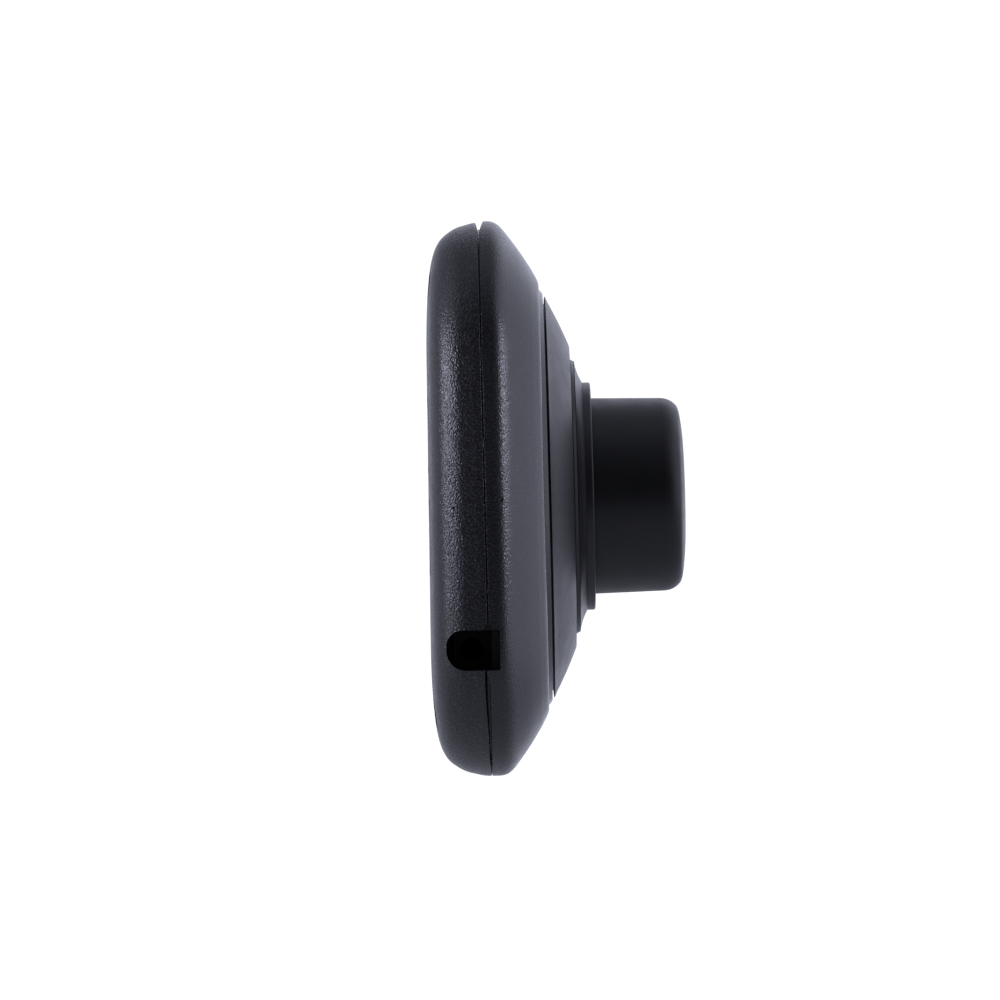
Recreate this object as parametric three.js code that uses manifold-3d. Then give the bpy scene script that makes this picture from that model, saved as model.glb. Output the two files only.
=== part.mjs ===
// Windscreen dash camera: two-part case, round stepped lens surround, lens stack, boards, screen, keys.
// Millimetres, +Z up, lens looks along -Y, screen faces +Y.
// Origin: centre of the top face of the T-shaped bracket rail, set in a pocket in the top edge of the case.
import * as THREE from "three";
import { mergeVertices } from "three/addons/utils/BufferGeometryUtils.js";
import Module from "manifold-3d";

const wasm = await Module();
wasm.setup();

// ---- Driving dimensions -------------------------------------------------
// Case (X = width, Z = height; the parting plane is Y = 0 in case coordinates)
const CASE_W = 88, CASE_H = 60, CORNER_R = 15;
// Rear cover section, [inset, depth] from the parting line to the flat of the rear face
const REAR_SECTION = [[0.1, 0.16], [0, 0.5], [0.15, 1.2], [0.5, 2.54], [0.9, 3.3], [1.7, 4.35], [2.6, 4.95], [3.5, 5.3], [4.9, 5.62], [7.4, 5.9], [12, 6.15]];
const REAR_DEPTH = 6.15, REAR_LEAN = 0.00175; // the rear face leans: thinner at the top, thicker at the bottom
// Front cover section: side band, straight taper, flat front face
const FRONT_SECTION = [[0.1, -0.16], [0, -0.5], [0, -0.9], [0.06, -1.35], [0.22, -1.75], [0.52, -2.17], [0.95, -2.57], [5.33, -5.51], [6.02, -5.93], [6.6, -6.2], [6.95, -6.35]];
const WALL = 1.6, LIP_IN = 0.9, LIP_H = 0.75;
const REAR_CAVITY_Y = 4.0, FRONT_CAVITY_Y = -4.65;
// Round stepped surround and barrel, all on the lens axis (X = 0, Z = 0)
const BOSS_R = 23.05, BOSS_Y = -7.15;
const BEZEL_CONE = [[16.85, -9.8], [17.93, -9.44], [19.04, -9.01], [20.17, -8.58], [21.15, -8.16], [22.03, -7.72], [22.5, -7.48], [22.6, -7.4]];
const COLLAR_CONE = [[15.3, -10.3], [14.2, -10.5], [13.2, -10.9], [12.97, -11.05]], COLLAR_R = 15.5, RING_R = 12.85, RING_Y = -12.05;
const BARREL_R = 11.1, BARREL_NOSE = [[5.15, -22.24], [5.4, -22.35], [7.4, -22.22], [8.7, -22.07], [9.5, -21.93], [9.98, -21.72], [10.3, -21.42], [10.6, -20.98], [10.79, -20.55], [10.88, -20.0]];
// Ports
const PORT_Z = -16.05, AV_FLAT_Y = -1.2, AV_APEX_Y = 4.5, AV_H = 4.3, JACK_Y = 1.8, JACK_FACE_X = 39.4;
const USB_W = 7.7, USB_T = 3.9;
// Screen
const WINDOW_W = 56, WINDOW_H = 42.8, WINDOW_Y0 = 4.7, WINDOW_Y1 = 5.5;
const VIEW_W = 50, VIEW_H = 38;
// Board
const BOARD_Y0 = -1.3, BOARD_Y1 = -0.3;
// Keys
const KEY_X = 33.5, KEY_W = 5.4, KEY_H = 7.8, KEY_PROUD = -0.08;
const KEYS = [
  ["menu_key", KEY_X, 13], ["select_key", KEY_X, 3], ["mode_key", KEY_X, -7],
  ["power_key", -KEY_X, 7], ["lock_key", -KEY_X, -4],
];
const SCREWS = [[-32.5, 22.9], [32.5, 22.9], [-32.5, -22.9], [32.5, -22.9]];
// Bracket rail
const RAIL_Y = 0.5, RAIL_TOP = 29.4, POCKET_X0 = -8, POCKET_X1 = 17, POCKET_HALF = 3.2, POCKET_FLOOR = 25.5;
// Memory card
const CARD_X = -9, CARD_Z0 = -29.3;

const BLACK = 0x1b1c20;

// ---- Helpers --------------------------------------------------------------
function solid(geometry) {
  const g = geometry.clone();
  for (const n of Object.keys(g.attributes)) if (n !== "position") g.deleteAttribute(n);
  const merged = mergeVertices(g, 1e-4);
  const triVerts = new Uint32Array(merged.index.array);
  const make = () => new wasm.Manifold(new wasm.Mesh({ numProp: 3, vertProperties: merged.attributes.position.array, triVerts }));
  let s = make();
  if (s.volume() < 0) {
    for (let i = 0; i < triVerts.length; i += 3) [triVerts[i + 1], triVerts[i + 2]] = [triVerts[i + 2], triVerts[i + 1]];
    s = make();
  }
  return s;
}
function geometryOf(s) {
  const m = s.getMesh(), n = m.numProp, v = new Float32Array(m.numVert * 3);
  for (let i = 0; i < m.numVert; i++) v.set(m.vertProperties.subarray(i * n, i * n + 3), i * 3);
  const g = new THREE.BufferGeometry();
  g.setAttribute("position", new THREE.BufferAttribute(v, 3));
  g.setIndex(new THREE.BufferAttribute(new Uint32Array(m.triVerts), 1));
  const flat = g.toNonIndexed();
  flat.computeVertexNormals();
  return flat;
}
// Box from low and high corners
function box(x0, y0, z0, x1, y1, z1) {
  const g = new THREE.BoxGeometry(x1 - x0, y1 - y0, z1 - z0);
  g.translate((x0 + x1) / 2, (y0 + y1) / 2, (z0 + z1) / 2);
  return solid(g);
}
// Cylinder along an axis
function cyl(r, a, b, axis, p, q, seg = 16, r2 = r) {
  const g = new THREE.CylinderGeometry(r2, r, b - a, seg);
  g.translate(0, (a + b) / 2, 0);
  if (axis === "x") { g.rotateZ(-Math.PI / 2); g.translate(0, p, q); }
  if (axis === "y") g.translate(p, 0, q);
  if (axis === "z") { g.rotateX(Math.PI / 2); g.translate(p, q, 0); }
  return solid(g);
}
// Revolved profile about the lens axis: list of [radius, y]
function lathe(profile, seg = 40) {
  const pts = profile.map(([r, y]) => new THREE.Vector2(r, y));
  if (profile[0][0] > 0 || profile[profile.length - 1][0] > 0) pts.push(pts[0].clone());
  return solid(new THREE.LatheGeometry(pts, seg));
}
// Rounded rectangle outline in X, Z
function outline(hw, hh, r, n = 6) {
  const out = [];
  const c = [[hw - r, hh - r, 0], [-(hw - r), hh - r, 1], [-(hw - r), -(hh - r), 2], [hw - r, -(hh - r), 3]];
  for (const [cx, cz, q] of c)
    for (let i = 0; i <= n; i++) {
      const a = (q + i / n) * Math.PI / 2;
      out.push([cx + r * Math.cos(a), cz + r * Math.sin(a)]);
    }
  return out;
}
// Plate: rounded rectangle extruded between two Y planes
function plate(hw, hh, r, y0, y1, cx = 0, cz = 0, n = 4) {
  const shape = new THREE.Shape(outline(hw, hh, r, n).map(([x, z]) => new THREE.Vector2(x, z)));
  const g = new THREE.ExtrudeGeometry(shape, { depth: y1 - y0, bevelEnabled: false, curveSegments: 6 });
  g.rotateX(Math.PI / 2); // shape (x, z), depth runs along -Y
  g.translate(cx, y1, cz);
  return solid(g.clone());
}
// rotateX(+90 deg) sends shape-y to +z and depth to -y.

// Loft through rings of [inset, y]; each ring is the case outline pulled in by inset
function loft(levels, lean = 0, n = 6) {
  const rings = levels.map(([t, y]) => {
    const r = Math.max(CORNER_R - t, 1.5);
    return outline(CASE_W / 2 - t, CASE_H / 2 - t, r, n).map(([x, z]) => [x, y > 0 ? y * (1 - lean * z) : y, z]);
  });
  const m = rings[0].length, pos = [], idx = [];
  rings.forEach(r => r.forEach(p => pos.push(...p)));
  for (let k = 0; k + 1 < rings.length; k++)
    for (let i = 0; i < m; i++) {
      const a = k * m + i, b = k * m + (i + 1) % m, c = a + m, d = b + m;
      idx.push(a, b, d, a, d, c);
    }
  for (let i = 1; i + 1 < m; i++) {
    idx.push(0, i + 1, i);
    const o = (rings.length - 1) * m;
    idx.push(o, o + i, o + i + 1);
  }
  const g = new THREE.BufferGeometry();
  g.setAttribute("position", new THREE.Float32BufferAttribute(pos, 3));
  g.setIndex(idx);
  return solid(g);
}
const union = list => list.reduce((a, b) => a.add(b));
const cut = (a, ...list) => list.reduce((x, y) => x.subtract(y), a);
const rearFace = z => REAR_DEPTH * (1 - REAR_LEAN * z);

const assembly = new THREE.Group();
const device = new THREE.Group();
device.position.set(0, -RAIL_Y, -RAIL_TOP); // bring the rail's top face to the origin
assembly.add(device);
function add(name, s, color = BLACK, roughness = 0.6, metalness = 0) {
  const mesh = new THREE.Mesh(geometryOf(s), new THREE.MeshStandardMaterial({ color, roughness, metalness }));
  mesh.name = name;
  device.add(mesh);
  return mesh;
}

// ---- Shared cutters -------------------------------------------------------
// AV port: D-shaped slot in the -X side, flat towards the lens, round towards the screen
function avSlot() {
  const r = AV_H / 2, cy = AV_APEX_Y - r, shape = new THREE.Shape();
  const pts = [[AV_FLAT_Y, -r], [AV_FLAT_Y, r]];
  for (let i = 0; i <= 8; i++) { const a = Math.PI / 2 - i / 8 * Math.PI; pts.push([cy + r * Math.cos(a), r * Math.sin(a)]); }
  pts.reverse().forEach(([y, z], i) => i ? shape.lineTo(y, z) : shape.moveTo(y, z));
  const g = new THREE.ExtrudeGeometry(shape, { depth: 8, bevelEnabled: false });
  // shape (u, v) -> (Y, Z), depth -> X
  const m = new THREE.Matrix4().set(0, 0, 1, -46, 1, 0, 0, 0, 0, 1, 0, PORT_Z, 0, 0, 0, 1);
  g.applyMatrix4(m);
  return solid(g);
}
const seamNotch = () => box(-46, -0.36, PORT_Z + AV_H / 2 - 0.3, -43.2, 0.4, PORT_Z + AV_H / 2 + 0.5);
const usbSlot = () => box(38, JACK_Y - 0.15 - 2.4, PORT_Z - 4.35, 46, JACK_Y - 0.15 + 2.4, PORT_Z + 4.35);
const pocketCut = () => box(POCKET_X0, RAIL_Y - POCKET_HALF, POCKET_FLOOR, POCKET_X1, RAIL_Y + POCKET_HALF, 31);
const cardCut = () => box(CARD_X - 6.1, -0.35, -31, CARD_X + 6.1, 1.05, -27);
const cardFinger = () => cyl(3.4, -32, -29.35, "z", CARD_X, 0.35, 20);

// ---- Front cover ----------------------------------------------------------
{
  const outer = loft(FRONT_SECTION);
  const cavity = loft([[WALL, 0.5], [WALL, -1.4], [2.2, -2.4], [5.4, FRONT_CAVITY_Y]]);
  const lip = cut(loft([[LIP_IN, -1.2], [LIP_IN, LIP_H]]), loft([[WALL, -1.4], [WALL, LIP_H + 0.2]]));
  const boss = lathe([[0, -5.6], [BOSS_R, -5.6], [BOSS_R, BOSS_Y + 0.14], [BOSS_R - 0.16, BOSS_Y], [0, BOSS_Y]], 36);
  const recess = lathe([[0, -4.0], [20.4, -4.0], [20.4, -8], [0, -8]], 36);
  let s = cut(cut(outer, cavity).add(lip).add(boss), recess);
  for (const [x, z] of SCREWS) {
    s = s.add(cyl(1.8, FRONT_CAVITY_Y - 0.4, 1, "y", x, z, 12));
    s = s.subtract(cyl(0.8, -3.9, 2, "y", x, z, 8));
  }
  // speaker holes and microphone hole through the flat front face
  for (const [dx, dz] of [[0, 0], [2.1, 0], [-2.1, 0], [1.05, 1.82], [-1.05, 1.82], [1.05, -1.82], [-1.05, -1.82]])
    s = s.subtract(cyl(0.55, -7, -4, "y", 29.9 + dx, dz, 8));
  s = s.subtract(cyl(0.5, -7, -4, "y", -30, 15.6, 8));
  s = cut(s, avSlot(), seamNotch(), usbSlot(), pocketCut(), cardCut(), cardFinger());
  add("front_shell", s, 0x24262b, 0.62);
}

// ---- Rear cover -----------------------------------------------------------
{
  const outer = loft(REAR_SECTION, REAR_LEAN);
  const cavity = loft([[WALL, -0.5], [WALL, 1.3], [2.1, 2.5], [3.2, 3.5], [4.6, REAR_CAVITY_Y]]);
  const rebate = loft([[LIP_IN - 0.1, -0.5], [LIP_IN - 0.1, LIP_H + 0.12]]);
  let s = cut(outer, cavity, rebate);
  // screen pocket, ledge opening
  s = s.subtract(plate(WINDOW_W / 2 + 0.15, WINDOW_H / 2 + 0.15, 2.15, WINDOW_Y0 - 0.05, 8));
  s = s.subtract(plate(VIEW_W / 2, VIEW_H / 2, 1.2, 3, 6));
  // key openings
  for (const [, x, z] of KEYS) s = s.subtract(plate(KEY_W / 2 + 0.18, KEY_H / 2 + 0.18, 2.68, 3, 8, x, z, 3));
  // status light hole
  s = s.subtract(cyl(0.95, 3, 8, "y", -KEY_X, 15, 10));
  // screw wells
  for (const [x, z] of SCREWS) {
    s = s.add(cyl(2.6, 1.12, REAR_CAVITY_Y + 0.5, "y", x, z, 12));
    s = s.subtract(cyl(1.75, 2.6, 8, "y", x, z, 12));
    s = s.subtract(cyl(1.0, 0, 4, "y", x, z, 8));
  }
  // reset pin hole in the bottom edge
  s = s.subtract(cyl(0.6, -31, -27, "z", 10, 1.7, 10));
  s = cut(s, avSlot(), seamNotch(), usbSlot(), pocketCut(), cardCut(), cardFinger());
  add("rear_shell", s, 0x202227, 0.6);
}

// ---- Bracket rail insert: a tub held under the case's top wall, with the T rail standing in it --------
{
  const y0 = RAIL_Y - POCKET_HALF + 0.05, y1 = RAIL_Y + POCKET_HALF - 0.05, zf = POCKET_FLOOR;
  let s = box(POCKET_X0 - 1.6, y0, zf - 1.1, POCKET_X1 + 1.6, y1, zf);
  for (const [a, b] of [[y0, y0 + 0.45], [y1 - 0.45, y1]]) s = s.add(box(POCKET_X0 + 0.1, a, zf - 0.5, POCKET_X1 - 0.1, b, 27.6));
  for (const [a, b] of [[POCKET_X0 - 1.6, POCKET_X0 + 0.8], [POCKET_X1 - 0.8, POCKET_X1 + 1.6]]) s = s.add(box(a, -1.1, zf - 0.5, b, 1.1, 28.2));
  for (const [a, b] of [[POCKET_X0 + 0.1, POCKET_X0 + 0.8], [POCKET_X1 - 0.8, POCKET_X1 - 0.1]]) s = s.add(box(a, y0, zf - 0.5, b, y1, 28.2));
  s = s.add(box(-5.5, RAIL_Y - 0.9, zf - 0.3, 5.5, RAIL_Y + 0.9, 28.4));
  s = s.add(box(-5.5, RAIL_Y - 1.8, 28.2, 5.5, RAIL_Y + 1.8, RAIL_TOP));
  add("bracket_rail", s, 0x17181b, 0.5);
}

// ---- Round stepped surround and lens barrel --------------------------------
add("front_bezel", lathe([
  [12.2, -6.9], [12.2, -7.9], [15.75, -7.9], [15.75, -9.66], [15.9, -9.8], ...BEZEL_CONE,
  [22.4, -7.36], [21.8, -7.36], [21.8, -7.18], [20.2, -7.18], [20.2, -4.7], [18.9, -4.7], [18.9, -6.9],
], 36), 0x25272c, 0.5);
add("lens_collar", lathe([
  [11.3, -9.2], [11.3, -11.95], [11.4, RING_Y], [12.73, RING_Y], [RING_R, -11.95], [RING_R, -11.2], ...[...COLLAR_CONE].reverse(),
  [COLLAR_R, -10.2], [COLLAR_R, -9.86], [15.2, -9.7], [15.2, -7.95], [13.6, -7.95], [13.6, -9.2],
], 32), 0x1a1b1e, 0.4);
add("lens_barrel", lathe([
  [5.15, -21.9], ...BARREL_NOSE, [BARREL_R, -9.1], [13.4, -9.1], [13.4, -7.95], [9.5, -7.95], [9.5, -21.0], [9.1, -21.4], [6.6, -21.4], [6.6, -21.9],
], 36), 0x16171a, 0.5);
add("lens_baffle", lathe([
  [5.05, -21.86], [4.95, -21.5], [4.72, -21.5], [4.62, -21.15], [4.4, -21.15], [4.3, -20.8], [4.6, -20.3], [6.5, -20.1], [6.5, -21.86],
], 28), 0x101114, 0.7);

// ---- Lens stack -----------------------------------------------------------
add("lens_tube", lathe([
  [5.9, -19.95], [5.9, -19.2], [5.3, -18.9], [4.5, -16.4], [4.5, -14.1], [3.0, -13.9], [3.0, -8.0], [5.95, -8.0], [5.95, -14.2],
  [6.9, -14.6], [6.9, -19.5], [6.4, -19.95],
], 20), 0x18191b, 0.45);
add("front_lens_element", lathe([
  [0, -20.55], [1.5, -20.48], [2.9, -20.28], [4.2, -19.93], [5.2, -19.52], [5.75, -19.22], [5.15, -18.95], [3.0, -18.5], [0, -18.1],
], 24), 0x8fa0b8, 0.05);
add("middle_lens_element", lathe([[0, -16.1], [2.4, -15.9], [4.3, -15.3], [4.3, -14.9], [2.4, -14.35], [0, -14.2]], 16), 0x8fa0b8, 0.05);
add("rear_lens_element", lathe([[0, -11.6], [1.6, -11.4], [2.85, -10.9], [2.85, -10.4], [1.6, -9.9], [0, -9.7]], 16), 0x8fa0b8, 0.05);
add("lens_lock_ring", lathe([[6.15, -11.4], [6.15, -12.6], [8.4, -12.6], [8.4, -11.4]], 20), 0x2a2b2f, 0.4);
{
  let s = cut(plate(9.2, 9.2, 1.2, -6.2, -3.25), plate(5.4, 5.4, 0.8, -5.3, -3));
  s = s.add(cyl(7.9, -11.2, -6.0, "y", 0, 0, 20));
  s = s.subtract(cyl(6.15, -12, -5.6, "y", 0, 0, 20)).subtract(plate(3.6, 3.6, 0.4, -6, -5));
  for (const sx of [-1, 1]) {
    s = s.add(plate(2.1, 2.1, 1.4, -5.2, -3.25, sx * 10.6, 0));
    s = s.subtract(cyl(0.75, -5.5, -3, "y", sx * 10.9, 0, 10));
  }
  add("lens_holder", s, 0x1c1d20, 0.55);
}
add("infrared_filter", plate(3.3, 3.3, 0.3, -5.5, -5.2), 0x7fb4c9, 0.05);
add("image_sensor", cut(plate(4.6, 4.2, 0.3, -4.35, -3.2), plate(3.4, 2.4, 0.2, -5, -4.2)), 0x2e2f36, 0.3);
{
  let s = plate(12.9, 10.2, 1.2, -3.15, -2.35);
  for (const sx of [-1, 1]) s = s.subtract(cyl(0.75, -4, -2, "y", sx * 10.9, 0, 10));
  add("sensor_board", s, 0x1d5a3a, 0.45);
}
add("board_connector", box(-7, -2.3, 6.2, 7, -1.35, 9), 0xd8d2c0, 0.5);
[-1, 1].forEach((sx, i) => add("holder_screw_" + (i + 1),
  cut(cyl(1.35, -2.33, -1.55, "y", sx * 10.9, 0, 12).add(cyl(0.68, -4.9, -2, "y", sx * 10.9, 0, 10)), box(sx * 10.9 - 0.9, -1.85, -0.16, sx * 10.9 + 0.9, -1, 0.16)), 0xb8bbc0, 0.3, 1));

// ---- Main board and parts on it -------------------------------------------
{
  let s = plate(39, 25.4, 7, BOARD_Y0, BOARD_Y1, 0, 0, 4);
  for (const [x, z] of SCREWS) s = s.subtract(cyl(2.1, -3, 1, "y", x, z, 10));
  s = s.subtract(box(POCKET_X0 - 2, -3, 24.1, POCKET_X1 + 2, 1, 27));
  s = s.subtract(box(-3.4, -3, 18.5, 3.4, 1, 20.3)); // tie slot for the screen ribbon
  add("main_board", s, 0x17503a, 0.45);
}
add("processor_chip", box(12.6, -2.3, -22.6, 24.4, -1.33, -10.8), 0x1a1b1d, 0.4);
add("memory_chip", box(13, -2.2, 9, 22.5, -1.33, 17), 0x1a1b1d, 0.4);
add("power_inductor", plate(2.5, 2.5, 0.8, -3.2, -1.33, 16, -3), 0x3a3b3e, 0.5);
{
  let s = box(-JACK_FACE_X, BOARD_Y1 + 0.02, PORT_Z - 2.5, -28.6, 3.5, PORT_Z + 2.5);
  s = s.subtract(cyl(1.28, -41, -30, "x", JACK_Y, PORT_Z, 12));
  add("av_jack", s, 0x111214, 0.45);
}
{
  const yc = JACK_Y - 0.15, hy = USB_T / 2, hz = USB_W / 2;
  let s = box(31, yc - hy + 0.02, PORT_Z - hz, JACK_FACE_X, yc + hy, PORT_Z + hz);
  s = s.subtract(box(33.2, yc - hy + 0.35, PORT_Z - hz + 0.35, 42, yc + hy - 0.35, PORT_Z + hz - 0.35));
  s = s.add(box(33, yc - 0.9, PORT_Z - 2.4, 38.4, yc - 0.1, PORT_Z + 2.4));
  add("usb_socket", s, 0xb9bcc2, 0.3, 1);
}
{
  const z0 = -27.4, z1 = -13.2;
  let s = box(CARD_X - 7, BOARD_Y1 + 0.02, z0, CARD_X + 7, 1.1, z1);
  s = s.subtract(box(CARD_X - 5.65, BOARD_Y1 + 0.2, z0 - 1, CARD_X + 5.65, 0.88, z1 - 0.4));
  add("card_socket", s, 0xb9bcc2, 0.35, 1);
}
{
  // 15 x 11 x 0.75 card with its pull lip
  let s = box(CARD_X - 5.5, -0.02, CARD_Z0, CARD_X + 5.5, 0.68, CARD_Z0 + 15);
  s = s.subtract(box(CARD_X + 3.9, -1, CARD_Z0 + 8.6, CARD_X + 6, 2, CARD_Z0 + 16));
  s = s.add(box(CARD_X - 5.5, -0.02, CARD_Z0, CARD_X + 5.5, 0.86, CARD_Z0 + 1.1));
  add("memory_card", s, 0x1b1c1f, 0.4);
}
add("battery_cell", plate(10.4, 13.4, 1.4, -4.4, -1.72, -26.6, -2.6), 0xb9bdc4, 0.35);
add("battery_tape", box(-35, -1.68, -13, -18.4, -1.34, 8), 0xe8e2c8, 0.8);
{
  const s = cyl(6.4, -4.5, -3.4, "y", 29.9, 0, 16).add(cyl(4.6, -3.5, -2.0, "y", 29.9, 0, 12));
  add("speaker", s, 0x2b2c30, 0.5, 0.4);
}
add("microphone", cyl(2.0, -2.9, -1.33, "y", -30, 15.6, 12), 0xa9acb2, 0.35, 0.9);

// ---- Screen ---------------------------------------------------------------
add("screen_window", plate(WINDOW_W / 2, WINDOW_H / 2, 2, WINDOW_Y0, WINDOW_Y1), 0x0b0c0e, 0.06);
add("screen_gasket", cut(plate(26, 20, 0.6, 3.86, 3.97), plate(25, 19, 0.4, 3.5, 4.5)), 0x222326, 0.9);
add("screen_panel", plate(26, 20, 0.4, 3.04, 3.82), 0x131720, 0.1);
{
  const s = cut(plate(27.2, 21.2, 0.8, 1.16, 3.0), box(-26, 2.4, -19.5, 26, 3.4, 19.5));
  add("screen_backlight", s, 0xc4c7cc, 0.35, 0.6);
}
{
  // flat flexible ribbon from the screen's top edge down to the board
  const path = [[3.3, 20.2], [3.3, 22.4], [2.9, 23.0], [0.6, 23.0], [0.1, 22.4], [0.1, 21.4]], t = 0.14;
  const shape = new THREE.Shape();
  const nrm = path.map((p, i) => {
    const a = path[Math.max(0, i - 1)], b = path[Math.min(path.length - 1, i + 1)];
    const dx = b[0] - a[0], dy = b[1] - a[1], l = Math.hypot(dx, dy);
    return [-dy / l * t / 2, dx / l * t / 2];
  });
  const a = path.map((p, i) => [p[0] + nrm[i][0], p[1] + nrm[i][1]]), b = path.map((p, i) => [p[0] - nrm[i][0], p[1] - nrm[i][1]]).reverse();
  [...a, ...b].forEach(([y, z], i) => i ? shape.lineTo(y, z) : shape.moveTo(y, z));
  const g = new THREE.ExtrudeGeometry(shape, { depth: 14, bevelEnabled: false });
  g.applyMatrix4(new THREE.Matrix4().set(0, 0, 1, 7.5, 1, 0, 0, 0, 0, 1, 0, 0, 0, 0, 0, 1));
  add("screen_ribbon", cut(solid(g), box(0, 2.9, 19, 30, 4.2, 21.25)), 0x8a5a20, 0.4);
}
add("ribbon_connector", box(6.4, BOARD_Y1 + 0.02, 19.2, 22.6, 0.85, 21.35), 0xd8d2c0, 0.5);

// ---- Keys, switches, status light -------------------------------------------
KEYS.forEach(([name, x, z], i) => {
  const top = rearFace(z) + KEY_PROUD;
  let cap = plate(KEY_W / 2, KEY_H / 2, 2.5, 3.4, top, x, z, 3);
  cap = cap.add(box(x - KEY_W / 2 - 0.6, 3.3, z - KEY_H / 2 - 0.5, x + KEY_W / 2 + 0.6, 3.62, z + KEY_H / 2 + 0.5));
  cap = cap.add(cyl(1.2, 2.1, 3.5, "y", x, z, 8));
  add(name, cap, 0x17181b, 0.5);
  const n = name.replace("_key", "_switch");
  add(n, cut(plate(2.3, 2.3, 0.3, BOARD_Y1 + 0.02, 1.2, x, z, 1), cyl(1.25, 0.55, 2, "y", x, z, 8)), 0xc9ccd0, 0.4, 0.6);
  add(n + "_plunger", cyl(1.05, 0.95, 2.05, "y", x, z, 8), 0x2a2a2c, 0.5);
});
add("status_light_pipe", cyl(0.85, 0.75, rearFace(15) + 0.03, "y", -KEY_X, 15, 10).add(cyl(1.6, 3.0, 3.8, "y", -KEY_X, 15, 10)), 0xd9e4ea, 0.2);
add("status_light", box(-KEY_X - 0.8, BOARD_Y1 + 0.02, 14.4, -KEY_X + 0.8, 0.55, 15.6), 0xf2efe0, 0.3);

// ---- Reset switch ------------------------------------------------------------
add("reset_switch", cut(box(8, BOARD_Y1 + 0.02, -24.9, 12, 2.7, -22.2), box(9.3, 1.0, -26, 10.7, 2.4, -23.6)), 0xc9ccd0, 0.4, 0.6);
add("reset_plunger", box(9.4, 1.1, -26.2, 10.6, 2.3, -24.1), 0x2a2a2c, 0.5);

// ---- Case screws --------------------------------------------------------------
SCREWS.forEach(([x, z], i) => {
  let s = cyl(1.6, 2.66, 3.7, "y", x, z, 12).add(cyl(0.72, -3.4, 3, "y", x, z, 6));
  s = cut(s, box(x - 1, 3.25, z - 0.19, x + 1, 5, z + 0.19), box(x - 0.19, 3.25, z - 1, x + 0.19, 5, z + 1));
  add("case_screw_" + (i + 1), s, 0x4a4c50, 0.35, 1);
});

export default assembly;
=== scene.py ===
import bpy
import bmesh
import math
from mathutils import Matrix, Vector


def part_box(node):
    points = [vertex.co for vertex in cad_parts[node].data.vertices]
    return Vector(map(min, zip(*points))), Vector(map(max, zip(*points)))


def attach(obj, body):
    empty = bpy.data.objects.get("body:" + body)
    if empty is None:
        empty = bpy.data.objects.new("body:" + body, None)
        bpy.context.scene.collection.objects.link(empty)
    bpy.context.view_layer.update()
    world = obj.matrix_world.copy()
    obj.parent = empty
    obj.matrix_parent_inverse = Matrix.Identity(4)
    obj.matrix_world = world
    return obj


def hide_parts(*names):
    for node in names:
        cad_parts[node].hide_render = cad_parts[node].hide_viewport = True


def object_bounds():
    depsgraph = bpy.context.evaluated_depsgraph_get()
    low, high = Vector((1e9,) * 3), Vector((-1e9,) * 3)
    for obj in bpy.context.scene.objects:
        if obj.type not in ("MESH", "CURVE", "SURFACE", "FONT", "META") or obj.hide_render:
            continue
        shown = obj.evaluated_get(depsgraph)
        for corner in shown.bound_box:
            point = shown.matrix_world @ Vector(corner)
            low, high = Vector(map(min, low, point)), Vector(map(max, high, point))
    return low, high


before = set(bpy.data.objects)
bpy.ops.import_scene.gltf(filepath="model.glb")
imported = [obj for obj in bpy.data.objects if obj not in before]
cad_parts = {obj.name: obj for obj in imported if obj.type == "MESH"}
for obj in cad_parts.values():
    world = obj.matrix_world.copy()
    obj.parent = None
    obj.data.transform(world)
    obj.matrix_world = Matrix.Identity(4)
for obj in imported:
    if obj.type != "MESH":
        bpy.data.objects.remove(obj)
cad_lo, cad_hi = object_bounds()

# ---------------------------------------------------------------------------
# Case coordinates are millimetres with the lens axis at x = z = 0 and the
# parting plane at y = 0. The row frame's origin is the rail's top face.
OX, OY, OZ = 0.0, 0.5, 29.4


def row(x, y, z):
    return Vector(((x - OX) / 1000, (y - OY) / 1000, (z - OZ) / 1000))


TO_ROW = Matrix.Translation(Vector((-OX / 1000, -OY / 1000, -OZ / 1000))) @ Matrix.Scale(0.001, 4)

# ---- driving dimensions (as in the CAD) -------------------------------------
CASE_W, CASE_H, CORNER_R = 88.0, 60.0, 15.0
REAR_LEAN = 0.00175
WALL, LIP_IN, LIP_H = 1.6, 0.9, 0.75
RAIL_Y, POCKET_X0, POCKET_X1, POCKET_HALF, POCKET_FLOOR = 0.5, -8.0, 17.0, 3.2, 25.5
PORT_Z, AV_FLAT_Y, AV_APEX_Y, AV_H, JACK_Y = -16.05, -1.2, 4.5, 4.3, 1.8
WINDOW_W, WINDOW_H, WINDOW_Y0, WINDOW_Y1 = 56.0, 42.8, 4.7, 5.5
VIEW_W, VIEW_H = 50.0, 38.0
KEY_X, KEY_W, KEY_H, KEY_PROUD = 33.5, 5.4, 7.8, -0.08
KEYS = [("menu_key", KEY_X, 13.0), ("select_key", KEY_X, 3.0), ("mode_key", KEY_X, -7.0),
        ("power_key", -KEY_X, 7.0), ("lock_key", -KEY_X, -4.0)]
SCREWS = [(-32.5, 22.9), (32.5, 22.9), (-32.5, -22.9), (32.5, -22.9)]
CARD_X = -9.0


def rear_face(z):
    return 6.10 * (1 - REAR_LEAN * z)


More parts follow.
